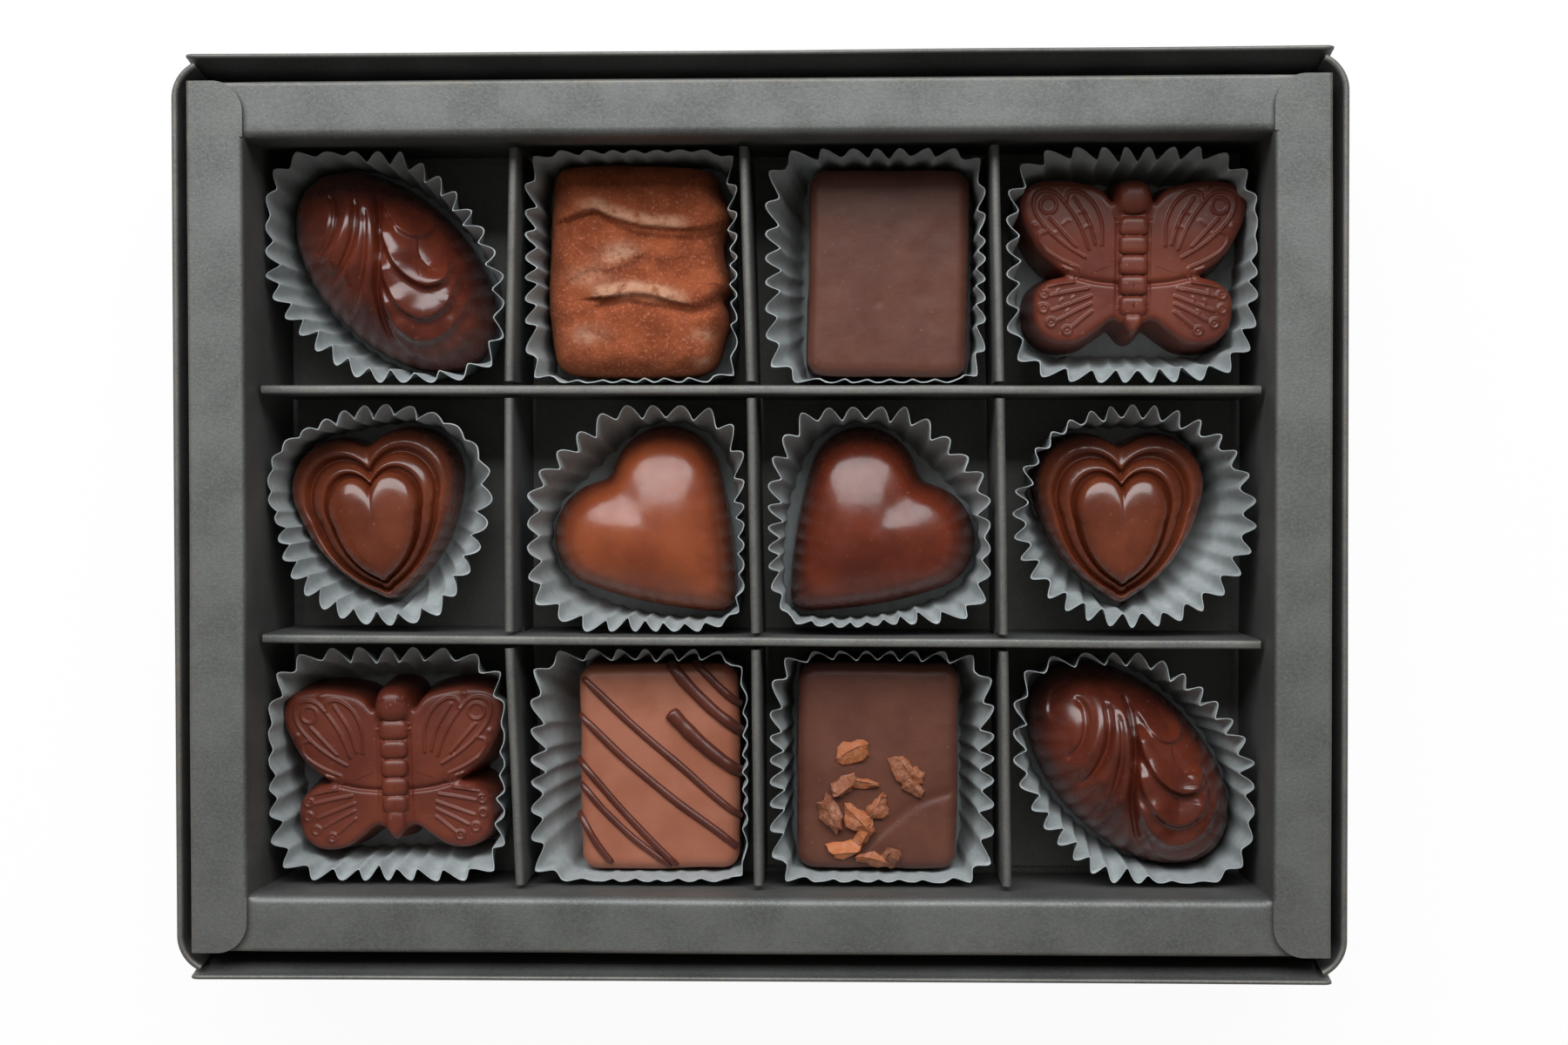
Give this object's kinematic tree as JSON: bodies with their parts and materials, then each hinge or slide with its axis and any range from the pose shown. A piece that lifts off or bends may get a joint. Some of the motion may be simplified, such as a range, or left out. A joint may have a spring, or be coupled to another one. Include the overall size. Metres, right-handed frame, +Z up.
{
  "type": "chocolate box",
  "caption": "Shallow folded-card gift box of moulded chocolates in pleated paper cups, kept apart by crossed card strips, its tray nested in its turned-over lid",
  "frame": {"origin": "middle of the flat face that the box stands on, on the floor plane", "axes": "X along the box's length, Y from its front to its back, Z up out of the open tray"},
  "size_m": [0.1756, 0.1392, 0.0305],
  "materials": {
    "black_card": "charcoal-black solid board with a fine pearl coating, folded and creased",
    "cup_paper": "thin grey-white glassine paper, pleated and slightly see-through",
    "dark_chocolate": "moulded or enrobed dark chocolate with a soft gloss",
    "milk_chocolate": "milk chocolate with a soft gloss",
    "dusted_chocolate": "chocolate truffle dusted with cocoa powder",
    "roasted_nibs": "roasted and broken cacao nibs"
  },
  "bodies": {
    "lid": {"lid": "black_card"},
    "tray": {"tray": "black_card", "floor_liner": "black_card"},
    "divider_columns": {"divider_column_left": "black_card", "divider_column_middle": "black_card", "divider_column_right": "black_card"},
    "divider_row_back": {"divider_row_back": "black_card"},
    "divider_row_front": {"divider_row_front": "black_card"},
    "cup_a1": {"cup_a1": "cup_paper"},
    "cup_a2": {"cup_a2": "cup_paper"},
    "cup_a3": {"cup_a3": "cup_paper"},
    "cup_a4": {"cup_a4": "cup_paper"},
    "cup_b1": {"cup_b1": "cup_paper"},
    "cup_b2": {"cup_b2": "cup_paper"},
    "cup_b3": {"cup_b3": "cup_paper"},
    "cup_b4": {"cup_b4": "cup_paper"},
    "cup_c1": {"cup_c1": "cup_paper"},
    "cup_c2": {"cup_c2": "cup_paper"},
    "cup_c3": {"cup_c3": "cup_paper"},
    "cup_c4": {"cup_c4": "cup_paper"},
    "chocolate_a1": {"oval_a1": "dark_chocolate"},
    "chocolate_a2": {"truffle_a2": "dusted_chocolate"},
    "chocolate_a3": {"plain_slab_a3": "dark_chocolate"},
    "chocolate_a4": {"butterfly_a4": "dark_chocolate"},
    "chocolate_b1": {"ridged_heart_b1": "dark_chocolate"},
    "chocolate_b2": {"smooth_heart_b2": "milk_chocolate"},
    "chocolate_b3": {"smooth_heart_b3": "dark_chocolate"},
    "chocolate_b4": {"ridged_heart_b4": "dark_chocolate"},
    "chocolate_c1": {"butterfly_c1": "dark_chocolate"},
    "chocolate_c2": {"drizzled_slab_c2": "milk_chocolate", "drizzle_lines": "dark_chocolate"},
    "chocolate_c3": {"nib_slab_c3": "dark_chocolate", "cacao_nibs": "roasted_nibs"},
    "chocolate_c4": {"oval_c4": "dark_chocolate"}
  },
  "joints": [
    {"name": "tray_lift", "type": "slide", "parent": "lid", "child": "tray", "axis": [0, 0, 1], "range_m": [0, 0.035]},
    {"name": "columns_lift", "type": "slide", "parent": "tray", "child": "divider_columns", "axis": [0, 0, 1], "range_m": [0, 0.03]},
    {"name": "row_back_lift", "type": "slide", "parent": "divider_columns", "child": "divider_row_back", "axis": [0, 0, 1], "range_m": [0, 0.03]},
    {"name": "row_front_lift", "type": "slide", "parent": "divider_columns", "child": "divider_row_front", "axis": [0, 0, 1], "range_m": [0, 0.03]},
    {"name": "cup_a1_lift", "type": "slide", "parent": "tray", "child": "cup_a1", "axis": [0, 0, 1], "range_m": [0, 0.032]},
    {"name": "cup_a2_lift", "type": "slide", "parent": "tray", "child": "cup_a2", "axis": [0, 0, 1], "range_m": [0, 0.032]},
    {"name": "cup_a3_lift", "type": "slide", "parent": "tray", "child": "cup_a3", "axis": [0, 0, 1], "range_m": [0, 0.032]},
    {"name": "cup_a4_lift", "type": "slide", "parent": "tray", "child": "cup_a4", "axis": [0, 0, 1], "range_m": [0, 0.032]},
    {"name": "cup_b1_lift", "type": "slide", "parent": "tray", "child": "cup_b1", "axis": [0, 0, 1], "range_m": [0, 0.032]},
    {"name": "cup_b2_lift", "type": "slide", "parent": "tray", "child": "cup_b2", "axis": [0, 0, 1], "range_m": [0, 0.032]},
    {"name": "cup_b3_lift", "type": "slide", "parent": "tray", "child": "cup_b3", "axis": [0, 0, 1], "range_m": [0, 0.032]},
    {"name": "cup_b4_lift", "type": "slide", "parent": "tray", "child": "cup_b4", "axis": [0, 0, 1], "range_m": [0, 0.032]},
    {"name": "cup_c1_lift", "type": "slide", "parent": "tray", "child": "cup_c1", "axis": [0, 0, 1], "range_m": [0, 0.032]},
    {"name": "cup_c2_lift", "type": "slide", "parent": "tray", "child": "cup_c2", "axis": [0, 0, 1], "range_m": [0, 0.032]},
    {"name": "cup_c3_lift", "type": "slide", "parent": "tray", "child": "cup_c3", "axis": [0, 0, 1], "range_m": [0, 0.032]},
    {"name": "cup_c4_lift", "type": "slide", "parent": "tray", "child": "cup_c4", "axis": [0, 0, 1], "range_m": [0, 0.032]},
    {"name": "chocolate_a1_lift", "type": "slide", "parent": "cup_a1", "child": "chocolate_a1", "axis": [0, 0, 1], "range_m": [0, 0.025]},
    {"name": "chocolate_a2_lift", "type": "slide", "parent": "cup_a2", "child": "chocolate_a2", "axis": [0, 0, 1], "range_m": [0, 0.025]},
    {"name": "chocolate_a3_lift", "type": "slide", "parent": "cup_a3", "child": "chocolate_a3", "axis": [0, 0, 1], "range_m": [0, 0.025]},
    {"name": "chocolate_a4_lift", "type": "slide", "parent": "cup_a4", "child": "chocolate_a4", "axis": [0, 0, 1], "range_m": [0, 0.025]},
    {"name": "chocolate_b1_lift", "type": "slide", "parent": "cup_b1", "child": "chocolate_b1", "axis": [0, 0, 1], "range_m": [0, 0.025]},
    {"name": "chocolate_b2_lift", "type": "slide", "parent": "cup_b2", "child": "chocolate_b2", "axis": [0, 0, 1], "range_m": [0, 0.025]},
    {"name": "chocolate_b3_lift", "type": "slide", "parent": "cup_b3", "child": "chocolate_b3", "axis": [0, 0, 1], "range_m": [0, 0.025]},
    {"name": "chocolate_b4_lift", "type": "slide", "parent": "cup_b4", "child": "chocolate_b4", "axis": [0, 0, 1], "range_m": [0, 0.025]},
    {"name": "chocolate_c1_lift", "type": "slide", "parent": "cup_c1", "child": "chocolate_c1", "axis": [0, 0, 1], "range_m": [0, 0.025]},
    {"name": "chocolate_c2_lift", "type": "slide", "parent": "cup_c2", "child": "chocolate_c2", "axis": [0, 0, 1], "range_m": [0, 0.025]},
    {"name": "chocolate_c3_lift", "type": "slide", "parent": "cup_c3", "child": "chocolate_c3", "axis": [0, 0, 1], "range_m": [0, 0.025]},
    {"name": "chocolate_c4_lift", "type": "slide", "parent": "cup_c4", "child": "chocolate_c4", "axis": [0, 0, 1], "range_m": [0, 0.025]}
  ]
}
